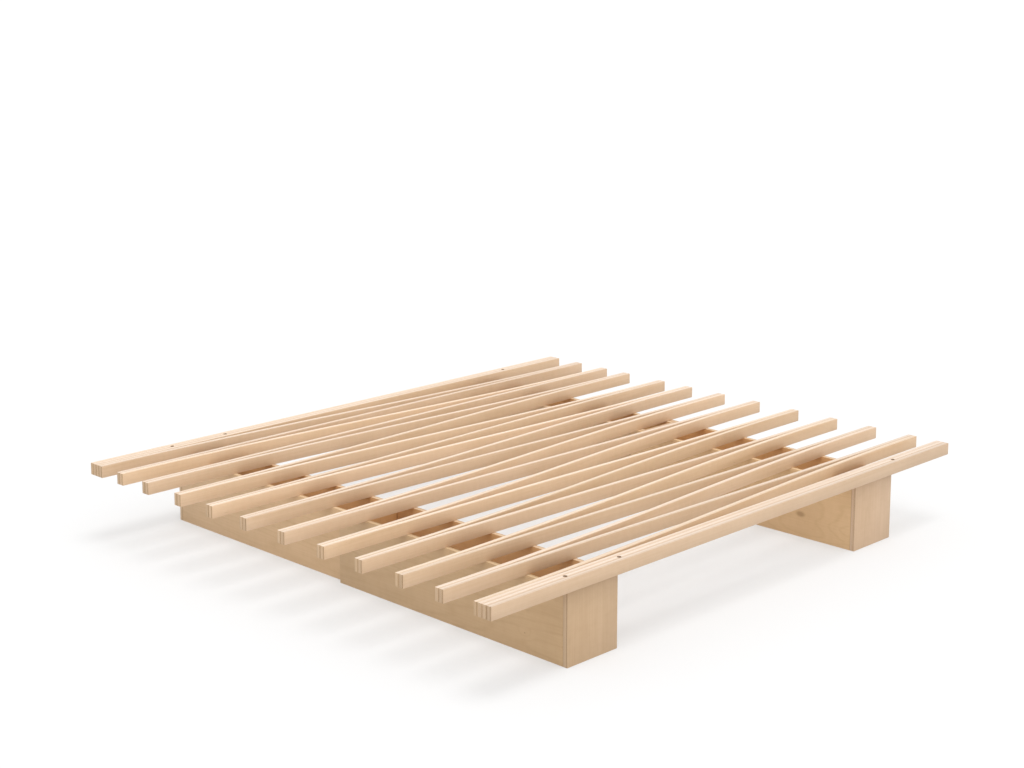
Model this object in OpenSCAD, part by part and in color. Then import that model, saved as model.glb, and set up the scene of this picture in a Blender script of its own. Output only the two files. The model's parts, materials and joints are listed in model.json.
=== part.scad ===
// Wooden bed frame that changes its width, all of birch plywood.
// Springy slats are glued together in pairs, at the foot end and the head end
// in turn, so that they open and close like an accordion between two side rails.
// They lie on two crossbeams, and each crossbeam is a tongue in a sleeve.
// X runs across the bed, Y along the slats and Z up. The origin is on the floor,
// under the middle of the opened bed. Front means the end towards -Y.

/* [Deck] */
// Length of the bed, along the slats
bed_length = 2000; // [1800:10:2200]
// Width over the side rails with the bed opened
open_width = 1710; // [1600:10:1720]
// Thickness of every strip and board
ply = 15; // [12:1:18]
// Height of the slats and side rails
slat_h = 36; // [30:1:50]
// Length over which two slats are glued face to face
glue_len = 100; // [50:10:400]
// Flat steps in the bend of each slat
bend_steps = 24; // [12:2:40]

/* [Crossbeams] */
// Height of the crossbeams, from the floor to the slats
beam_h = 207; // [150:1:300]
// Width of a sleeve over its boards
beam_w = 187; // [140:1:220]
// Distance from the middle of the bed to the middle of a crossbeam
beam_y = 622; // [560:1:680]
// How far the ends of a crossbeam stand back from the rails
beam_recess = 20; // [16:1:24]
// How far the sleeve's open end lies past the middle of the bed
sleeve_past_middle = 41; // [20:1:60]
// How much of the tongue is in the sleeve with the bed opened
overlap = 51; // [40:1:80]
// Gap on each side between the tongue and the sleeve
slide_gap = 0.5; // [0.3:0.1:1]

/* [Dowels] */
// Diameter of the dowels that keep the rails along the crossbeams
stop_dowel_d = 12; // [8:1:13]
// Depth of those dowels' tops under the top of the rail
stop_dowel_sunk = 8; // [2:1:12]
// Length of those dowels that hangs below the rail
stop_dowel_drop = 8; // [4:1:20]
// Diameter of the dowels that fasten the crossbeams under the rails
rail_dowel_d = 8; // [6:1:8]
// Length of those dowels
rail_dowel_len = 40; // [30:1:50]
// Diameter of the dowels in the corners of the crossbeams
corner_dowel_d = 6; // [5:1:6]
// Length of the corner dowels
corner_dowel_len = 28; // [24:1:40]
// Dowels in each corner
corner_dowels = 3; // [2:1:4]

/* [Hidden] */
$fn = 32;
sides = ["left", "right"];
ends = ["front", "rear"];
rail_layers = ["outer", "middle", "inner"];
walls = ["front_wall", "rear_wall"];

// X of each glued pair at the front, on a bed of the drawn width
front_pair_x = [-700, -570, -410, -260, -105, 60, 225, 375, 530, 675];
// X of each glued pair at the rear, on a bed of the drawn width
rear_pair_x = [-710, -585, -475, -310, -185, -40, 110, 270, 425, 575, 725];
drawn_width = 1710;
spread = open_width / drawn_width;

slats = 2 * len(rear_pair_x);
half_length = bed_length / 2;
half_width = open_width / 2;
rail_w = len(rail_layers) * ply;
rail_in = half_width - rail_w;
deck_top = beam_h + slat_h;
bend_len = bed_length - 2 * glue_len;

// Crossbeam: a sleeve of two walls and one end board, a tongue of two walls and two
tongue_w = beam_w - 2 * ply - 2 * slide_gap;
beam_end = half_width - beam_recess;
sleeve_open = -sleeve_past_middle;
tongue_tip = sleeve_open + overlap;

// Dowels: the holes are a little wider than the dowels, and no deeper
dowel_fit = 0.1;
stop_dowel_gap = 1;
stop_dowel_y = beam_w / 2 + stop_dowel_gap + stop_dowel_d / 2;
rail_dowel_spacing = 80;
corner_dowel_in_end = 10;
corner_dowel_margin = 35;

function two_digits(n) = str(n < 10 ? "0" : "", n);
function slat_name(i) = str("slat_", two_digits(i));
function rail_name(s, k) = str(sides[s], "_rail_", rail_layers[k], "_strip");
function wall_name(e, half, w) = str(ends[e], "_", half, "_", walls[w]);
function side_sign(s) = s == 0 ? -1 : 1;
function end_sign(e) = e == 0 ? -1 : 1;

// Slats: each runs from one station to the next, and the stations take turns
// between the front (even numbers) and the rear (odd numbers)
function station_x(k) =
    k == 0 ? -rail_in + ply / 2 :
    k == slats ? rail_in - ply / 2 :
    spread * (k % 2 == 1 ? rear_pair_x[(k - 1) / 2] : front_pair_x[k / 2 - 1]);

// In a glued pair, the slat from the left lies on the left
function slat_start(i) = station_x(i - 1) + (i > 1 ? ply / 2 : 0);
function slat_stop(i) = station_x(i) - (i < slats ? ply / 2 : 0);
function front_end_x(i) = i % 2 == 1 ? slat_start(i) : slat_stop(i);
function rear_end_x(i) = i % 2 == 1 ? slat_stop(i) : slat_start(i);

// A strip held straight at both ends and pushed sideways bends to this curve
function ease(t) = t * t * (3 - 2 * t);
function bend_y(n) = -half_length + glue_len + bend_len * n / bend_steps;
function bend_x(i, n) =
    front_end_x(i) + (rear_end_x(i) - front_end_x(i)) * ease(n / bend_steps);

// One long face of slat i, from front to rear; side is -1 or 1
function slat_face(i, side) = concat(
    [[front_end_x(i) + side * ply / 2, -half_length]],
    [for (n = [0 : bend_steps]) [bend_x(i, n) + side * ply / 2, bend_y(n)]],
    [[rear_end_x(i) + side * ply / 2, half_length]]
);
function backwards(list) = [for (n = [len(list) - 1 : -1 : 0]) list[n]];

module slat(i) {
    color("burlywood")
        translate([0, 0, beam_h])
            linear_extrude(slat_h)
                polygon(concat(slat_face(i, -1), backwards(slat_face(i, 1))));
}

// Places where the stop dowels stand, along a rail: two hold the front crossbeam
// between them, and one lies behind the rear crossbeam
stop_dowel_places = [-beam_y - stop_dowel_y, -beam_y + stop_dowel_y, beam_y + stop_dowel_y];

module stop_dowels_at(s, d, z0, z1) {
    for (y = stop_dowel_places)
        translate([side_sign(s) * (half_width - rail_w / 2), y, z0])
            cylinder(d = d, h = z1 - z0);
}

// Dowels that stand half in a crossbeam's end board and half in the rail
module rail_dowels_at(s, d) {
    for (e = [0, 1])
        for (side = [-1, 1])
            translate([
                side_sign(s) * (beam_end - ply / 2),
                end_sign(e) * beam_y + side * rail_dowel_spacing / 2,
                beam_h - rail_dowel_len / 2
            ])
                cylinder(d = d, h = rail_dowel_len);
}

module rail_strip(s, k) {
    color("wheat")
        difference() {
            translate([
                side_sign(s) * (half_width - (k + 0.5) * ply) - ply / 2,
                -half_length,
                beam_h
            ])
                cube([ply, bed_length, slat_h]);
            stop_dowels_at(s, stop_dowel_d, beam_h - 1, deck_top + 1);
            rail_dowels_at(s, rail_dowel_d);
        }
}

// A row of level dowels through the joint of a wall and an end board. joint_x is
// the face where they meet, and out is the side of it that the end board is on
module corner_dowels_at(joint_x, out, wall_y, d) {
    wall_part = corner_dowel_len - corner_dowel_in_end;
    start_x = out > 0 ? joint_x - wall_part : joint_x - corner_dowel_in_end;
    step = (beam_h - 2 * corner_dowel_margin) / (corner_dowels - 1);
    for (n = [0 : corner_dowels - 1])
        translate([start_x, wall_y, corner_dowel_margin + n * step])
            rotate([0, 90, 0])
                cylinder(d = d, h = corner_dowel_len);
}

module sleeve_corner_dowels_at(e, d) {
    for (side = [-1, 1])
        corner_dowels_at(beam_end - ply, 1, end_sign(e) * beam_y + side * (beam_w - ply) / 2, d);
}

module tongue_corner_dowels_at(e, d) {
    for (side = [-1, 1]) {
        wall_y = end_sign(e) * beam_y + side * (tongue_w - ply) / 2;
        corner_dowels_at(ply - beam_end, -1, wall_y, d);
        corner_dowels_at(tongue_tip - ply, 1, wall_y, d);
    }
}

// A board on edge on the floor, from x0 to x1, with its middle at y
module standing_board(x0, x1, y, w) {
    translate([x0, y - w / 2, 0])
        cube([x1 - x0, w, beam_h]);
}

module sleeve_wall(e, w) {
    color("tan")
        difference() {
            standing_board(
                sleeve_open,
                beam_end - ply,
                end_sign(e) * beam_y + end_sign(w) * (beam_w - ply) / 2,
                ply
            );
            sleeve_corner_dowels_at(e, corner_dowel_d);
        }
}

module tongue_wall(e, w) {
    color("tan")
        difference() {
            standing_board(
                ply - beam_end,
                tongue_tip - ply,
                end_sign(e) * beam_y + end_sign(w) * (tongue_w - ply) / 2,
                ply
            );
            tongue_corner_dowels_at(e, corner_dowel_d);
        }
}

module sleeve_end_board(e) {
    color("burlywood")
        difference() {
            standing_board(beam_end - ply, beam_end, end_sign(e) * beam_y, beam_w);
            sleeve_corner_dowels_at(e, corner_dowel_d);
            rail_dowels_at(1, rail_dowel_d);
        }
}

module tongue_end_board(e) {
    color("burlywood")
        difference() {
            standing_board(-beam_end, ply - beam_end, end_sign(e) * beam_y, tongue_w);
            tongue_corner_dowels_at(e, corner_dowel_d);
            rail_dowels_at(0, rail_dowel_d);
        }
}

module tongue_tip_board(e) {
    color("burlywood")
        difference() {
            standing_board(tongue_tip - ply, tongue_tip, end_sign(e) * beam_y, tongue_w);
            tongue_corner_dowels_at(e, corner_dowel_d);
        }
}

module sleeve_corner_dowels(e) {
    color("bisque") sleeve_corner_dowels_at(e, corner_dowel_d - dowel_fit);
}

module tongue_corner_dowels(e) {
    color("bisque") tongue_corner_dowels_at(e, corner_dowel_d - dowel_fit);
}

module stop_dowels(s) {
    color("bisque")
        stop_dowels_at(
            s,
            stop_dowel_d - dowel_fit,
            beam_h - stop_dowel_drop,
            deck_top - stop_dowel_sunk
        );
}

module rail_dowels(s) {
    color("bisque") rail_dowels_at(s, rail_dowel_d - dowel_fit);
}

for (s = [0, 1])
    for (k = [0 : len(rail_layers) - 1])
        rail_strip(s, k);
for (i = [1 : slats])
    slat(i);
for (e = [0, 1])
    for (w = [0, 1]) {
        sleeve_wall(e, w);
        tongue_wall(e, w);
    }
for (e = [0, 1]) {
    sleeve_end_board(e);
    tongue_end_board(e);
    tongue_tip_board(e);
    sleeve_corner_dowels(e);
    tongue_corner_dowels(e);
}
for (s = [0, 1]) {
    stop_dowels(s);
    rail_dowels(s);
}
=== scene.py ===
"""The visible bed frame: plywood strips, boards and dowels, their wood, a studio and a camera.

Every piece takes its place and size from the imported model's nodes. Lengths are metres, X runs across
the bed, Y along the slats and Z up. A piece's wood is laid out in three directions of its own: along
the face grain, across it, and through the plies.
"""

import json
import math
import random
from types import SimpleNamespace

import bmesh
import bpy
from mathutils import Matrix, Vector


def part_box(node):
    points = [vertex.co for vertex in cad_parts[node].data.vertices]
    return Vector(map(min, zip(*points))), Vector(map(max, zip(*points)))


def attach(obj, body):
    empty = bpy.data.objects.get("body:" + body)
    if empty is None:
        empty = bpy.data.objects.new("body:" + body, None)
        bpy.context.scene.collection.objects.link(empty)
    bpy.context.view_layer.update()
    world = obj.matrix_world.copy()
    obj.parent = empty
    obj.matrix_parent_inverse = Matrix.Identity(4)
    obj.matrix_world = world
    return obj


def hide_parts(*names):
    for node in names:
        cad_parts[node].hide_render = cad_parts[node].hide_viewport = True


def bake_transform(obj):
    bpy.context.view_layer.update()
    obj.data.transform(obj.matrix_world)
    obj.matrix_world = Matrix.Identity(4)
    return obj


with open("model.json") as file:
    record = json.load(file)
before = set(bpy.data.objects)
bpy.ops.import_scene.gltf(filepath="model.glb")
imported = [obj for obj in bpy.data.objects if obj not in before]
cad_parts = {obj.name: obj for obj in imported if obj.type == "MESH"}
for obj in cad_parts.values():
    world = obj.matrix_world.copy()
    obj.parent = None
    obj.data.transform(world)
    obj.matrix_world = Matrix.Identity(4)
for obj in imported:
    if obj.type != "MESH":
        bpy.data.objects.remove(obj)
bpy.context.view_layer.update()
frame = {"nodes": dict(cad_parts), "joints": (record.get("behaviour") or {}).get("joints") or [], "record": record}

# Woodwork
PLY = 0.015  # thickness of the plywood
PLIES = 11
DARK_PLY_HIGH = 0.0019  # a strip's or board's dark ply lies at least this far below its face
DARK_PLY_LOW = 0.0042  # and at most this far
ARRIS = 0.0009  # radius of the sanded edges
ARRIS_STEPS = 2
BEND_RINGS = 72  # rings along the bent middle of a slat
DOWEL_SIDES = 40
DOWEL_CHAMFER = 0.0008
HOLE_SLACK = 0.00006  # a hole's radius over its dowel's
BLIND_SLACK = 0.0001  # a blind hole's depth over its dowel's
MOUTH = 0.0004  # chamfer round the mouth of an open hole
PAST = 0.001  # how far a cutter reaches past the wood
TOUCH = 0.00001  # places nearer to each other than this are one
WELD = 0.000001  # corners of a CAD solid nearer to each other than this are joined
WALL_REACH = 1.03  # a hole's wall lies within this many radii of its axis
WALL_START = -0.01  # and from this share of the hole's length to its end
SHARP = math.radians(24)  # edges that turn more than this stay sharp

# Kinds of face that the plywood tells apart
INSIDE, FACE, EDGE, END, HOLE = -1.0, 0.0, 1.0, 2.0, 3.0

# Tone and warmth of a piece, each 0 to 1: the lowest that chance gives, and the spread above that
TONE, TONE_SPREAD = 0.38, 0.28
WARMTH, WARMTH_SPREAD = 0.3, 0.25
# Pieces that stand out have a tone and warmth of their own
TONES = {
    "front_sleeve_front_wall": (0.0, 1.0),
    "front_tongue_front_wall": (0.58, 0.68),
    "rear_sleeve_front_wall": (0.90, 0.95),
    "front_sleeve_end_board": (0.15, 0.50),
    "rear_sleeve_end_board": (0.50, 0.0),
    "right_rail_outer_strip": (0.12, 0.35),
    "slat_03": (0.75, 0.45),
    "slat_09": (0.80, 0.35),
    "slat_19": (0.25, 0.45),
    "slat_21": (0.22, 0.40),
}
# Knots: where each one is in the world, and how far round it the grain bends
KNOTS = {
    "front_sleeve_front_wall": ((0.687, -0.7155, 0.053), 0.014),
    "rear_sleeve_front_wall": ((0.640, 0.5285, 0.072), 0.075),
}
KNOT_SQUASH = 0.55  # distances along the grain count this much in a knot's oval
# Painted bounce light: veneer that looks into a crossbeam's hollow is tinted redder for the light that bounces
# between its walls
HOLLOW_BOUNCE_LIGHT_TINT = (1.14, 1.0, 0.78, 1)

# Studio
FLOOR_HALF = 60.0
FLOOR_COLOUR = (0.448, 0.45, 0.452, 1)
FLOOR_GLOW = 0.375  # light that the floor gives off itself, which makes the shadows faint
BACKDROP_RADIUS = 55.0
BACKDROP_HEIGHT = 12.0
BACKDROP_SIDES = 64
BACKDROP_GLOW = 1.0
ROOM_LIGHT = 0.9
# Broad lights far away: which way each one lies, its strength and its width in degrees
SOFT_LIGHTS = {
    "overhead": ((0.55, 0.05, 3.0), 1.35, 30.0),
    "side": ((3.0, -0.9, 2.8), 0.6, 70.0),
}
CAMERA_PLACE = (3.7510, -3.8507, 1.7814)
CAMERA_DOWN = math.radians(10.606)
CAMERA_TURN = math.radians(44.764)
CAMERA_LENS = 64.043
CAMERA_SENSOR = 36.0
CAMERA_SHIFT = -0.1
CAMERA_REACH = 300.0

X, Y, Z = 0, 1, 2
rng = random.Random(20)


# ---------------------------------------------------------------- meshes


def new_object(name, mesh):
    piece = bpy.data.objects.new(name, mesh)
    bpy.context.scene.collection.objects.link(piece)
    return piece


def mesh_from(bm, name):
    bmesh.ops.recalc_face_normals(bm, faces=bm.faces)
    mesh = bpy.data.meshes.new(name)
    bm.to_mesh(mesh)
    bm.free()
    return mesh


def loft(rings):
    """A closed skin over rings that have the same number of points, with a flat cap at each end."""
    bm = bmesh.new()
    loops = [[bm.verts.new(p) for p in ring] for ring in rings]
    count = len(loops[0])
    for low, high in zip(loops, loops[1:]):
        for k in range(count):
            m = (k + 1) % count
            bm.faces.new((low[k], low[m], high[m], high[k]))
    bm.faces.new(list(reversed(loops[0])))
    bm.faces.new(loops[-1])
    return bm


def rounded_section(half_a, half_b, radius):
    """Points round a rectangle of half sizes half_a and half_b whose corners are arcs."""
    points = []
    for quarter in range(4):
        sign_a = 1 if quarter in (0, 3) else -1
        sign_b = 1 if quarter in (0, 1) else -1
        for step in range(ARRIS_STEPS + 1):
            turn = math.radians(90 * (quarter + step / ARRIS_STEPS))
            points.append(
                (
                    sign_a * (half_a - radius) + radius * math.cos(turn),
                    sign_b * (half_b - radius) + radius * math.sin(turn),
                )
            )
    return points


def end_steps():
    """How far in from an end, and how much smaller all round, each ring of a rounded end is."""
    turns = [math.radians(90 * k / ARRIS_STEPS) for k in range(ARRIS_STEPS + 1)]
    return [(ARRIS * (1 - math.sin(a)), ARRIS * (1 - math.cos(a))) for a in turns]


def board_mesh(low, high, along):
    """A board with sanded edges between two corners, swept along one axis."""
    a, b = [axis for axis in (X, Y, Z) if axis != along]
    middle = (low + high) / 2
    half = (high - low) / 2
    stations = [(low[along] + inset, less) for inset, less in reversed(end_steps())]
    stations += [(high[along] - inset, less) for inset, less in end_steps()]
    rings = []
    for at, less in stations:
        ring = []
        for pa, pb in rounded_section(half[a] - less, half[b] - less, ARRIS):
            point = Vector((0, 0, 0))
            point[along], point[a], point[b] = at, middle[a] + pa, middle[b] + pb
            ring.append(point)
        rings.append(ring)
    return loft(rings)


def ease(t):
    """The curve of a strip that is held straight at both ends and pushed sideways."""
    t = min(max(t, 0.0), 1.0)
    return t * t * (3 - 2 * t)


def round_bar(start, end, stations):
    """A round bar from start towards end. Each station is a distance along it and its radius there."""
    turn = (end - start).to_track_quat("Z", "Y")
    angles = [2 * math.pi * k / DOWEL_SIDES for k in range(DOWEL_SIDES)]
    return loft(
        [
            [start + turn @ Vector((r * math.cos(a), r * math.sin(a), at)) for a in angles]
            for at, r in stations
        ]
    )


def dowel_mesh(start, end, radius):
    """A dowel with chamfered ends."""
    length = (end - start).length
    thin = radius - DOWEL_CHAMFER
    stations = [(0, thin), (DOWEL_CHAMFER, radius), (length - DOWEL_CHAMFER, radius), (length, thin)]
    return round_bar(start, end, stations)


def hole_cutter(start, end, radius, mouth_at_end):
    """What a drill takes out from start to end. An open end has a chamfered mouth."""
    length = (end - start).length
    stations = [(0, radius), (length, radius)]
    if mouth_at_end:
        stations = [(0, radius), (length - MOUTH, radius), (length + PAST, radius + MOUTH + PAST)]
    return round_bar(start, end, stations)


def cut(piece, cutters):
    """Takes each cutter's shape out of the piece's mesh."""
    for n, bm in enumerate(cutters):
        tool = new_object(f"cutter_{n}", mesh_from(bm, "cutter"))
        boolean = piece.modifiers.new("cut", "BOOLEAN")
        boolean.operation = "DIFFERENCE"
        boolean.solver = "EXACT"
        boolean.object = tool
        done = piece.evaluated_get(bpy.context.evaluated_depsgraph_get())
        mesh = bpy.data.meshes.new_from_object(done)
        piece.modifiers.clear()
        old, piece.data = piece.data, mesh
        bpy.data.meshes.remove(old)
        bpy.data.objects.remove(tool)


def solids(node):
    """The lowest and highest corners of each separate solid of a CAD node."""
    bm = bmesh.new()
    bm.from_mesh(frame["nodes"][node].data)
    bmesh.ops.remove_doubles(bm, verts=bm.verts, dist=WELD)
    left, found = set(bm.verts), []
    while left:
        stack, island = [left.pop()], []
        while stack:
            vert = stack.pop()
            island.append(vert.co.copy())
            for edge in vert.link_edges:
                other = edge.other_vert(vert)
                if other in left:
                    left.remove(other)
                    stack.append(other)
        low = Vector([min(p[k] for p in island) for k in range(3)])
        high = Vector([max(p[k] for p in island) for k in range(3)])
        found.append((low, high))
    bm.free()
    return sorted(found, key=lambda pair: tuple(pair[0]))


# ---------------------------------------------------------------- wood coordinates


def lay_wood(
    piece, grain, middle, half, curve=None, holes=(), tone=None, knot=None, hollows=()
):
    """Writes the attributes that the wood materials read.

    grain names the axes (along, across, through). wood is a point's place in the piece in that order,
    from its middle, half the piece's half sizes, piece a random place in the log with a tone and a
    warmth, knot a knot's place along and across and its reach, and cut the kind of each face: END
    and EDGE across and along the grain, HOLE the wall of an open hole, INSIDE the veneer on the side
    of a board that looks towards a hollow's middle, and FACE any other veneer.
    """
    mesh = piece.data
    shift, chance_tone, chance_warmth = rng.uniform(-30, 30), rng.random(), rng.random()
    by_chance = (TONE + TONE_SPREAD * chance_tone, WARMTH + WARMTH_SPREAD * chance_warmth)
    character = (shift, *(tone or by_chance))
    knotted = (0.0, 0.0, 0.0)
    if knot:
        place, reach = knot
        knotted = (*[place[axis] - middle[axis] for axis in grain[:2]], reach)
    wood = []
    for vert in mesh.vertices:
        p = vert.co - middle
        if curve:
            p[X] = vert.co[X] - curve(vert.co[Y])
        wood += [p[axis] for axis in grain]
    count = len(mesh.vertices)
    columns = {
        "wood": wood,
        "half": [half[axis] for axis in grain] * count,
        "piece": character * count,
        "knot": knotted * count,
    }
    for name, values in columns.items():
        attribute = mesh.attributes.new(name, "FLOAT_VECTOR", "POINT")
        attribute.data.foreach_set("vector", values)
    kinds = []
    for face in mesh.polygons:
        facing = [abs(face.normal[axis]) for axis in grain]
        kind = (END, EDGE, FACE)[facing.index(max(facing))]
        # the walls of open holes are marked for their painted shade
        if any(within(face.center, hole) for hole in holes):
            kind = HOLE
        # veneer that looks into a hollow's middle gets the painted bounce light
        if kind == FACE and any((face.center - hollow).dot(face.normal) < 0 for hollow in hollows):
            kind = INSIDE
        kinds.append(kind)
    attribute = mesh.attributes.new("cut", "FLOAT", "FACE")
    attribute.data.foreach_set("value", kinds)


def within(point, hole):
    """True if a point lies in a hole or on its wall."""
    start, end, radius = hole
    axis = end - start
    share = (point - start).dot(axis) / axis.length_squared
    off = point - start - axis * share
    return WALL_START < share < 1.0 and off.length < radius * WALL_REACH


def finish_piece(piece, material, slot, *nodes, body=None):
    piece.data.materials.clear()
    piece.data.materials.append(material)
    piece.data.polygons.foreach_set("use_smooth", [True] * len(piece.data.polygons))
    piece.data.set_sharp_from_angle(angle=SHARP)
    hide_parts(*nodes)
    if body:
        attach(piece, body)


# ---------------------------------------------------------------- materials


class Tree:
    """Short names for building one material's node tree. Arguments are sockets or plain values."""

    def __init__(self, name):
        self.material = bpy.data.materials.new(name)
        self.material.use_nodes = True
        self.nodes = self.material.node_tree.nodes
        self.links = self.material.node_tree.links
        self.nodes.clear()

    def put(self, socket, value):
        if isinstance(value, bpy.types.NodeSocket):
            self.links.new(value, socket)
        else:
            socket.default_value = value

    def attribute(self, name, output):
        node = self.nodes.new("ShaderNodeAttribute")
        node.attribute_name = name
        return node.outputs[output]

    def split(self, vector):
        node = self.nodes.new("ShaderNodeSeparateXYZ")
        self.put(node.inputs[0], vector)
        return node.outputs

    def join(self, x, y, z):
        node = self.nodes.new("ShaderNodeCombineXYZ")
        for socket, value in zip(node.inputs, (x, y, z)):
            self.put(socket, value)
        return node.outputs[0]

    def math(self, operation, a, b=0.0, c=None):
        node = self.nodes.new("ShaderNodeMath")
        node.operation = operation
        self.put(node.inputs[0], a)
        self.put(node.inputs[1], b)
        if c is not None:
            self.put(node.inputs[2], c)
        return node.outputs[0]

    def add(self, a, b):
        return self.math("ADD", a, b)

    def times(self, a, b):
        return self.math("MULTIPLY", a, b)

    def ramp(self, value, low, high, to_low=0.0, to_high=1.0):
        """value from low..high turned smoothly into to_low..to_high."""
        node = self.nodes.new("ShaderNodeMapRange")
        node.interpolation_type = "SMOOTHSTEP"
        for socket, v in zip(node.inputs, (value, low, high, to_low, to_high)):
            self.put(socket, v)
        return node.outputs[0]

    def noise(self, vector, detail, roughness):
        node = self.nodes.new("ShaderNodeTexNoise")
        self.put(node.inputs["Vector"], vector)
        node.inputs["Scale"].default_value = 1.0
        node.inputs["Detail"].default_value = detail
        node.inputs["Roughness"].default_value = roughness
        return node.outputs["Fac"]

    def random(self, vector):
        node = self.nodes.new("ShaderNodeTexWhiteNoise")
        self.put(node.inputs["Vector"], vector)
        return node.outputs["Value"]

    def mix(self, share, a, b, blend="MIX"):
        """Colour a where share is 0, b where it is 1."""
        node = self.nodes.new("ShaderNodeMix")
        node.data_type = "RGBA"
        node.blend_type = blend
        self.put(node.inputs["Factor"], share)
        self.put(node.inputs["A"], a)
        self.put(node.inputs["B"], b)
        return node.outputs["Result"]

    def mix_value(self, share, a, b):
        """a where share is 0, b where it is 1."""
        return self.math("MULTIPLY_ADD", share, self.math("SUBTRACT", b, a), a)

    def principled(self, colour, roughness, height, depth, strength):
        shader = self.nodes.new("ShaderNodeBsdfPrincipled")
        bump = self.nodes.new("ShaderNodeBump")
        bump.inputs["Distance"].default_value = depth
        bump.inputs["Strength"].default_value = strength
        self.put(bump.inputs["Height"], height)
        self.put(shader.inputs["Base Color"], colour)
        self.put(shader.inputs["Roughness"], roughness)
        self.put(shader.inputs["Normal"], bump.outputs[0])
        return self.finish(shader.outputs[0])

    def glow(self, strength):
        shader = self.nodes.new("ShaderNodeEmission")
        shader.inputs["Strength"].default_value = strength
        return shader.outputs[0]

    def finish(self, surface):
        """The material, with this shader on its surface."""
        out = self.nodes.new("ShaderNodeOutputMaterial")
        self.links.new(surface, out.inputs[0])
        return self.material


class Wood:
    """What a plywood material reads from its piece's attributes.

    u, v and w run along the grain, across it and through the plies.
    """

    def __init__(self, t):
        self.t = t
        self.u, self.v, self.w = t.split(t.attribute("wood", "Vector"))
        self.half_u, self.half_v, self.half_w = t.split(t.attribute("half", "Vector"))
        self.shift, self.tone, self.warmth = t.split(t.attribute("piece", "Vector"))
        self.knot_u, self.knot_v, self.knot_reach = t.split(t.attribute("knot", "Vector"))
        kind = t.attribute("cut", "Fac")
        self.is_inside = t.math("LESS_THAN", kind, (INSIDE + FACE) / 2)
        self.is_edge = t.math("GREATER_THAN", kind, (FACE + EDGE) / 2)
        self.is_end = t.math("GREATER_THAN", kind, (EDGE + END) / 2)
        self.is_hole = t.math("GREATER_THAN", kind, (END + HOLE) / 2)
        self.along = t.add(self.u, self.shift)
        self.side = t.math("SIGN", self.w)

    def pattern(self, along, across, detail, roughness, layer=None):
        """A noise that turns over so many times a metre along the grain, and so many across it.

        Its layer parts one veneer's noise from another's: the side of the board, unless it is given.
        """
        t = self.t
        if layer is None:
            layer = self.side
        place = t.join(t.times(self.along, along), t.times(self.v, across), layer)
        return t.noise(place, detail, roughness)


def knot_of(t, wood):
    """How much a knot draws the growth rings round itself, and how much of its heart shows."""
    along = t.times(t.math("SUBTRACT", wood.u, wood.knot_u), KNOT_SQUASH)
    across = t.math("SUBTRACT", wood.v, wood.knot_v)
    away = t.math("SQRT", t.add(t.times(along, along), t.times(across, across)))
    share = t.math("DIVIDE", away, t.math("MAXIMUM", wood.knot_reach, 0.0001))
    pull = t.times(t.ramp(share, 0.0, 1.6, 1.0, 0.0), t.ramp(wood.knot_reach, 0.01, 0.08, 0.08, 0.22))
    has_knot = t.math("GREATER_THAN", wood.knot_reach, 0.001)
    return pull, t.times(t.ramp(share, 0.05, 0.16, 1.0, 0.0), has_knot)


def growth_rings(t, wood, pull, look):
    """The dark flames of a peeled veneer: contours of a noise that a knot lifts round itself."""
    swell = t.add(wood.pattern(0.6, 7.0, 2.0, 0.45, t.add(wood.side, wood.warmth)), pull)
    waver = wood.pattern(14.0, 60.0, 2.0, 0.5)
    contour = t.math("MULTIPLY_ADD", waver, 0.16, t.times(swell, look.figure))
    flame = t.ramp(t.math("PINGPONG", contour, 0.5), 0.0, 0.22, 1.0, 0.0)
    return t.times(flame, t.ramp(wood.half_u, 0.1, 0.4, 0.14, 0.25))


def face_veneer(t, wood, look):
    """Colour, roughness and height of the veneer on a face."""
    pull, heart = knot_of(t, wood)
    streak = wood.pattern(3.0, 210.0, 4.0, 0.62)
    fibre = wood.pattern(45.0, 1500.0, 2.0, 0.5)
    cloud = wood.pattern(4.0, 11.0, 3.0, 0.5)
    shimmer = wood.pattern(60.0, 25.0, 2.0, 0.5)
    pores = t.ramp(wood.pattern(110.0, 2300.0, 1.0, 0.5), 0.66, 0.76)
    flecks = t.ramp(wood.pattern(16.0, 260.0, 2.0, 0.5, t.add(wood.side, 7.0)), 0.755, 0.79)

    dark = t.add(t.times(t.ramp(streak, 0.3, 0.72), 0.26), growth_rings(t, wood, pull, look))
    dark = t.add(dark, t.times(t.ramp(cloud, 0.3, 0.72), 0.34))
    dark = t.add(dark, t.times(t.ramp(shimmer, 0.35, 0.7), 0.12))
    dark = t.times(t.add(dark, t.times(fibre, 0.10)), look.contrast)
    colour = t.mix(t.math("MINIMUM", dark, 1.0), look.veneer, look.veneer_dark)
    colour = t.mix(t.times(pores, 0.28), colour, look.glue)
    colour = t.mix(t.times(flecks, 0.5), colour, look.glue)
    colour = t.mix(t.times(heart, 0.6), colour, look.glue)
    # painted bounce light: veneer that looks into a crossbeam's hollow is tinted redder
    colour = t.mix(wood.is_inside, colour, HOLLOW_BOUNCE_LIGHT_TINT, "MULTIPLY")

    rough = t.add(0.42, t.times(streak, 0.14))
    height = t.add(t.times(streak, 0.4), t.times(fibre, 0.5))
    return colour, rough, t.math("SUBTRACT", height, t.times(pores, 0.8))


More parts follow.
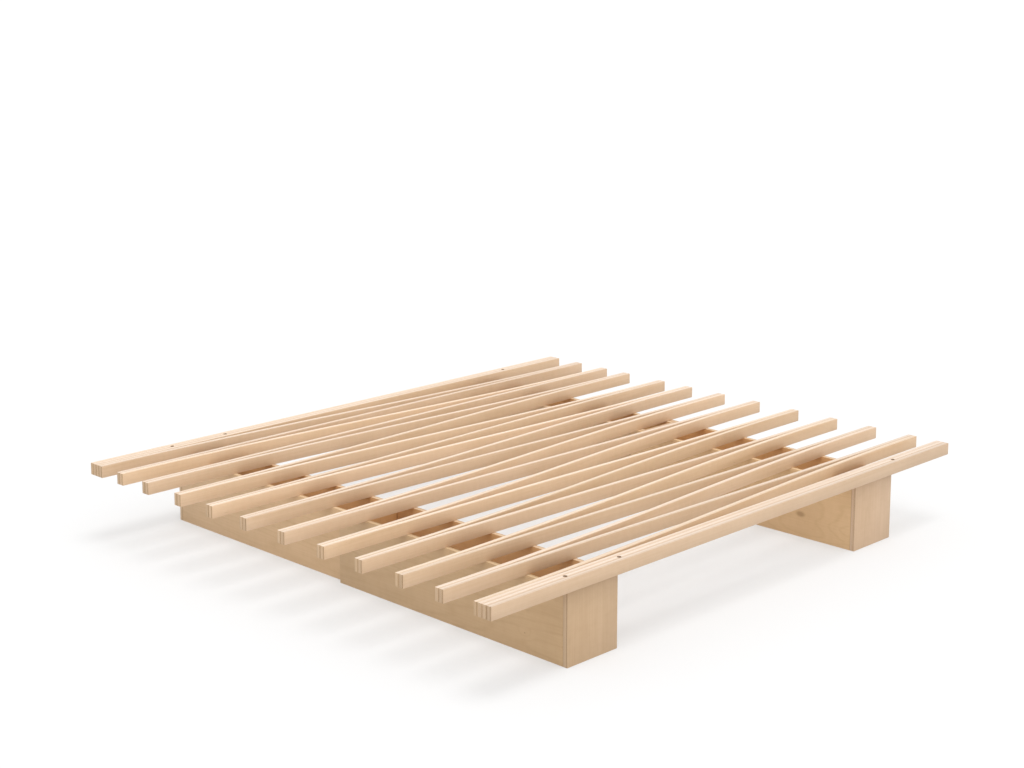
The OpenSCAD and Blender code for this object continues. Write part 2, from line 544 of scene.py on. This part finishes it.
def stacked_plies(t, wood, look):
    """Colour, roughness and height of an edge, where every ply has its own tone."""
    run = t.mix_value(wood.is_end, wood.along, wood.v)
    level = t.times(t.add(t.math("DIVIDE", wood.w, PLY), 0.5), PLIES)
    layer = t.math("FLOOR", level)
    share = t.math("FRACT", level)
    lot = t.random(t.join(layer, wood.shift, wood.tone))
    grain = t.noise(t.join(t.times(run, 4.0), t.times(wood.w, 1900.0), layer), 3.0, 0.6)
    drift = t.noise(t.join(t.times(run, 1.3), t.times(wood.w, 240.0), wood.shift), 2.0, 0.5)
    prick = t.noise(t.join(t.times(run, 1100.0), t.times(wood.w, 1700.0), layer), 2.0, 0.6)
    colour = t.mix(wood.is_end, look.edge_wood, look.end_wood)
    line = t.mix(wood.is_end, look.edge_line, look.end_line)

    # one dark ply, not far below one of the faces
    chance = t.random(t.join(wood.shift, wood.tone, wood.warmth))
    dark_ply = t.ramp(chance, 0.0, 1.0, PLY / 2 - DARK_PLY_HIGH, PLY / 2 - DARK_PLY_LOW)
    from_dark = t.math("ABSOLUTE", t.math("SUBTRACT", wood.w, dark_ply))
    colour = t.mix(t.ramp(from_dark, 0.0008, 0.0015, 0.85, 0.0), colour, line)

    # some plies are darker, and all of them are grained
    colour = t.mix(t.ramp(lot, 0.80, 0.90, 0.0, 0.4), colour, line)
    colour = t.mix(t.ramp(drift, 0.45, 0.72, 0.0, 0.45), colour, look.veneer_dark)
    colour = t.mix(t.ramp(grain, 0.45, 0.8, 0.0, 0.22), colour, look.veneer_dark)
    colour = t.mix(t.ramp(prick, 0.5, 0.8, 0.0, 0.25), colour, line)

    # thin glue lines part them, and the skin at the faces of the sheet is the darkest line
    seam = t.math("MINIMUM", share, t.math("SUBTRACT", 1.0, share))
    colour = t.mix(t.ramp(seam, 0.02, 0.12, 0.35, 0.0), colour, line)
    to_face = t.math("SUBTRACT", wood.half_w, t.math("ABSOLUTE", wood.w))
    colour = t.mix(t.ramp(to_face, 0.0006, 0.0012, 0.7, 0.0), colour, line)

    rough = t.add(0.5, t.times(prick, 0.18))
    return colour, rough, t.math("SUBTRACT", t.times(prick, 0.6), t.ramp(seam, 0.02, 0.12, 0.5, 0.0))


def rubbed(t, wood):
    """How much paler a handled arris is."""
    to_u = t.math("SUBTRACT", wood.half_u, t.math("ABSOLUTE", wood.u))
    to_v = t.math("SUBTRACT", wood.half_v, t.math("ABSOLUTE", wood.v))
    near_face = t.math("MINIMUM", to_u, to_v)
    near_edge = t.mix_value(wood.is_end, to_u, to_v)
    return t.ramp(t.mix_value(wood.is_edge, near_face, near_edge), 0.0, 0.0014, 0.12, 0.0)


def plywood(name, look):
    """Birch plywood: figured veneer on its faces and stacked plies on its edges."""
    t = Tree(name)
    wood = Wood(t)
    face, face_rough, face_height = face_veneer(t, wood, look)
    edge, edge_rough, edge_height = stacked_plies(t, wood, look)
    colour = t.mix(wood.is_edge, face, edge)
    colour = t.mix(rubbed(t, wood), colour, look.edge_wood)
    # painted shade: the walls of open holes take the darkest colour of the wood for the shade down in the holes,
    # and drilled wood is a little darker too
    colour = t.mix(t.times(wood.is_hole, 0.95), colour, look.glue)
    tint = t.ramp(wood.tone, 0.0, 1.0, 0.86, 1.08)
    green = t.times(tint, t.ramp(wood.warmth, 0.0, 1.0, 1.01, 0.975))
    blue = t.times(tint, t.ramp(wood.warmth, 0.0, 1.0, 1.05, 0.86))
    colour = t.mix(1.0, colour, t.join(tint, green, blue), "MULTIPLY")
    rough = t.mix_value(wood.is_edge, face_rough, edge_rough)
    height = t.mix_value(wood.is_edge, face_height, edge_height)
    return t.principled(colour, rough, height, depth=0.00022, strength=0.3)


def beech(name, colour, dark):
    """Turned beech for the dowels: short rays on the flank, pricked end grain."""
    t = Tree(name)
    u, v, w = t.split(t.attribute("wood", "Vector"))
    shift, tone, _ = t.split(t.attribute("piece", "Vector"))
    is_end = t.math("GREATER_THAN", t.attribute("cut", "Fac"), (EDGE + END) / 2)
    su = t.add(u, shift)
    rays = t.noise(t.join(t.times(su, 300.0), t.times(v, 1500.0), t.times(w, 1500.0)), 2.0, 0.6)
    streak = t.noise(t.join(t.times(su, 8.0), t.times(v, 400.0), t.times(w, 400.0)), 3.0, 0.6)
    prick = t.noise(t.join(t.times(v, 2600.0), t.times(w, 2600.0), shift), 2.0, 0.6)
    ring = t.math("PINGPONG", t.times(t.add(v, t.times(streak, 0.0004)), 700.0), 0.5)
    flank = t.add(t.times(t.ramp(rays, 0.5, 0.7), 0.4), t.times(streak, 0.4))
    end = t.add(t.times(t.ramp(prick, 0.4, 0.7), 0.4), t.times(ring, 0.7))
    dark_share = t.math("MINIMUM", t.mix_value(is_end, flank, end), 1.0)
    shade = t.mix(dark_share, colour, dark)
    shade = t.mix(t.times(tone, 0.2), shade, dark)
    rough = t.add(0.42, t.times(t.mix_value(is_end, rays, prick), 0.25))
    return t.principled(shade, rough, t.mix_value(is_end, rays, prick), depth=0.0002, strength=0.4)


# figure is how closely the growth rings lie, and contrast how dark the figured veneer gets
strip_look = SimpleNamespace(
    veneer=(0.72, 0.516, 0.347, 1),
    veneer_dark=(0.592, 0.40, 0.241, 1),
    edge_wood=(0.78, 0.65, 0.54, 1),
    edge_line=(0.55, 0.37, 0.23, 1),
    end_wood=(0.60, 0.42, 0.265, 1),
    end_line=(0.28, 0.155, 0.06, 1),
    glue=(0.27, 0.15, 0.065, 1),
    figure=5.0,
    contrast=0.9,
)
board_look = SimpleNamespace(
    veneer=(0.63, 0.437, 0.275, 1),
    veneer_dark=(0.49, 0.319, 0.175, 1),
    edge_wood=(0.67, 0.49, 0.33, 1),
    edge_line=(0.36, 0.22, 0.11, 1),
    end_wood=(0.62, 0.45, 0.30, 1),
    end_line=(0.36, 0.22, 0.11, 1),
    glue=(0.27, 0.15, 0.065, 1),
    figure=15.0,
    contrast=0.8,
)
strip_wood = plywood("birch_strips", strip_look)
board_wood = plywood("birch_boards", board_look)
dowel_wood = beech("beech_dowels", (0.56, 0.38, 0.22, 1), (0.30, 0.17, 0.08, 1))


# ---------------------------------------------------------------- dowels

AXES = {X: Vector((1, 0, 0)), Y: Vector((0, 1, 0)), Z: Vector((0, 0, 1))}


def bar_of(low, high):
    """Start, end, radius and axis of the round bar that fills a box."""
    size = high - low
    along = max((X, Y, Z), key=lambda axis: size[axis])
    radius = min(size) / 2
    middle = (low + high) / 2
    reach = AXES[along] * size[along] / 2
    return middle - reach, middle + reach, radius, along


def dowel_group(node, body):
    """One piece for a group of dowels, and the bars that they fill."""
    bars = [bar_of(low, high) for low, high in solids(node)]
    bm = bmesh.new()
    for start, end, radius, _ in bars:
        part = mesh_from(dowel_mesh(start, end, radius), "dowel")
        bm.from_mesh(part)
        bpy.data.meshes.remove(part)
    piece = new_object(node + "_wood", mesh_from(bm, node + "_wood"))
    along = bars[0][3]
    grain = (along, *[axis for axis in (X, Y, Z) if axis != along])
    low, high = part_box(node)
    lay_wood(piece, grain, (low + high) / 2, (high - low) / 2)
    finish_piece(piece, dowel_wood, "dowels", node, body=body)
    return bars


bodies_of = {
    node: body
    for body, nodes in frame["record"]["behaviour"]["bodies"].items()
    for node in nodes
}
dowels = {
    node: dowel_group(node, bodies_of[node]) for node in sorted(bodies_of) if node.endswith("_dowels")
}


def crossing(bar, low, high):
    """True if a bar passes through the box between two corners."""
    start, end, radius, along = bar
    for axis in (X, Y, Z):
        b0 = min(start[axis], end[axis]) - (0 if axis == along else radius)
        b1 = max(start[axis], end[axis]) + (0 if axis == along else radius)
        if b1 <= low[axis] + TOUCH or b0 >= high[axis] - TOUCH:
            return False
    return True


def cutters_for(low, high, nodes):
    """The holes that a board between two corners has for the dowels in these nodes."""
    made = []
    for node in nodes:
        for bar in dowels[node]:
            if not crossing(bar, low, high):
                continue
            start, end, radius, along = bar
            radius += HOLE_SLACK
            if node.endswith("stop_dowels"):
                start, end = start.copy(), end.copy()
                start[Z] = low[Z] - PAST
                end[Z] = high[Z]
                made.append(hole_cutter(start, end, radius, True))
            else:
                step = AXES[along] * BLIND_SLACK
                made.append(hole_cutter(start - step, end + step, radius, False))
    return made


# ---------------------------------------------------------------- boards and rails


def open_bars(node, high):
    """The holes of the stop dowels, up to the top of the rail."""
    return [
        (start, Vector((end[X], end[Y], high[Z])), radius) for start, end, radius, _ in dowels[node]
    ]


def hollows_of(node):
    """The middles of the crossbeam halves that a board looks into."""
    end, half = node.split("_")[:2]
    halves = ("tongue", "sleeve") if "tip_board" in node else (half,)
    middles = []
    for name in halves:
        boxes = [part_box(other) for other in bodies_of if other.startswith(end + "_" + name)]
        low = Vector([min(box[0][k] for box in boxes) for k in (X, Y, Z)])
        high = Vector([max(box[1][k] for box in boxes) for k in (X, Y, Z)])
        middles.append((low + high) / 2)
    return middles


def board(node, grain, along, material, slot):
    """A flat board or strip in place of its CAD node, with the holes for its dowels."""
    low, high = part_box(node)
    piece = new_object(node + "_ply", mesh_from(board_mesh(low, high, along), node + "_ply"))
    side = bodies_of[node].removesuffix("_side")
    near = [n for n in dowels if n.startswith(side) or n.startswith(node.split("_")[0])]
    cut(piece, cutters_for(low, high, near))
    lay_wood(
        piece,
        grain,
        (low + high) / 2,
        (high - low) / 2,
        holes=[bar[:3] for n in near if n.endswith("stop_dowels") for bar in open_bars(n, high)],
        tone=TONES.get(node),
        knot=KNOTS.get(node),
        hollows=hollows_of(node) if slot == "boards" else (),
    )
    finish_piece(piece, material, slot, node, body=bodies_of[node])


for node in sorted(bodies_of):
    if node.endswith("_strip"):
        board(node, (Y, Z, X), Y, strip_wood, "strips")
    elif node.endswith("_wall"):
        board(node, (X, Z, Y), X, board_wood, "boards")
    elif node.endswith("_board"):
        board(node, (Z, Y, X), Z, board_wood, "boards")


# ---------------------------------------------------------------- slats


def end_middle(node, far):
    """X of the middle of a slat's end: the rear one if far, or the front one."""
    points = [v.co for v in frame["nodes"][node].data.vertices]
    edge = max(p[Y] for p in points) if far else min(p[Y] for p in points)
    row = [p[X] for p in points if abs(p[Y] - edge) < TOUCH]
    return (min(row) + max(row)) / 2


def slat(joint):
    """A springy strip between two glued pairs, bent sideways from its front end over to its rear end."""
    bend = joint["deforming_nodes"][0]
    node = bend["node"]
    fixed_y = bend["fixed_end_y_m"]
    low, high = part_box(node)
    flat_y = abs(fixed_y)
    front, rear = end_middle(node, False), end_middle(node, True)

    def middle_x(y):
        return front + (rear - front) * ease((y + flat_y) / (2 * flat_y))

    half_z = (high[Z] - low[Z]) / 2
    height = (high[Z] + low[Z]) / 2
    stations = [(low[Y] + inset, less) for inset, less in reversed(end_steps())]
    stations += [(-flat_y + 2 * flat_y * k / BEND_RINGS, 0.0) for k in range(BEND_RINGS + 1)]
    stations += [(high[Y] - inset, less) for inset, less in end_steps()]
    rings = [
        [
            Vector((middle_x(y) + a, y, height + b))
            for a, b in rounded_section(PLY / 2 - less, half_z - less, ARRIS)
        ]
        for y, less in stations
    ]
    piece = new_object(node + "_ply", mesh_from(loft(rings), node + "_ply"))
    lay_wood(
        piece,
        (Y, Z, X),
        Vector((0, (low[Y] + high[Y]) / 2, height)),
        Vector((PLY / 2, (high[Y] - low[Y]) / 2, half_z)),
        middle_x,
        tone=TONES.get(node),
    )
    finish_piece(piece, strip_wood, "strips", node)
    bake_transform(piece)


for joint in frame["joints"]:
    if joint.get("deforming_nodes"):
        slat(joint)


# ---------------------------------------------------------------- studio


def lay_floor():
    bm = bmesh.new()
    bmesh.ops.create_grid(bm, x_segments=1, y_segments=1, size=FLOOR_HALF)
    floor = new_object("floor", mesh_from(bm, "floor"))
    t = Tree("floor")
    shader = t.nodes.new("ShaderNodeBsdfDiffuse")
    shader.inputs["Color"].default_value = FLOOR_COLOUR
    both = t.nodes.new("ShaderNodeAddShader")
    t.links.new(shader.outputs[0], both.inputs[0])
    t.links.new(t.glow(FLOOR_GLOW), both.inputs[1])
    floor.data.materials.append(t.finish(both.outputs[0]))


def hang_backdrop():
    """A white ring far away, which hides the horizon from low cameras."""
    bm = bmesh.new()
    bmesh.ops.create_cone(
        bm,
        segments=BACKDROP_SIDES,
        radius1=BACKDROP_RADIUS,
        radius2=BACKDROP_RADIUS,
        depth=BACKDROP_HEIGHT,
    )
    bmesh.ops.translate(bm, verts=bm.verts, vec=(0, 0, BACKDROP_HEIGHT / 2))
    backdrop = new_object("backdrop", mesh_from(bm, "backdrop"))
    t = Tree("backdrop")
    backdrop.data.materials.append(t.finish(t.glow(BACKDROP_GLOW)))


def light_room():
    """Light from all round, and two broad soft lights."""
    scene = bpy.context.scene
    scene.view_settings.view_transform = "Standard"
    world = bpy.data.worlds.new("studio")
    world.use_nodes = True
    world.node_tree.nodes["Background"].inputs["Color"].default_value = (1, 1, 1, 1)
    world.node_tree.nodes["Background"].inputs["Strength"].default_value = ROOM_LIGHT
    scene.world = world
    for name, (place, strength, width) in SOFT_LIGHTS.items():
        light = bpy.data.lights.new(name, "SUN")
        light.energy = strength
        light.angle = math.radians(width)
        lamp = bpy.data.objects.new(name, light)
        scene.collection.objects.link(lamp)
        lamp.location = place
        lamp.rotation_euler = Vector(place).to_track_quat("Z", "Y").to_euler()


def place_camera():
    data = bpy.data.cameras.new("camera")
    data.sensor_width = CAMERA_SENSOR
    data.lens = CAMERA_LENS
    data.shift_y = CAMERA_SHIFT
    data.clip_end = CAMERA_REACH
    view = bpy.data.objects.new("camera", data)
    bpy.context.scene.collection.objects.link(view)
    view.location = CAMERA_PLACE
    view.rotation_euler = (math.pi / 2 - CAMERA_DOWN, 0.0, CAMERA_TURN)
    bpy.context.scene.camera = view


lay_floor()
hang_backdrop()
light_room()
place_camera()
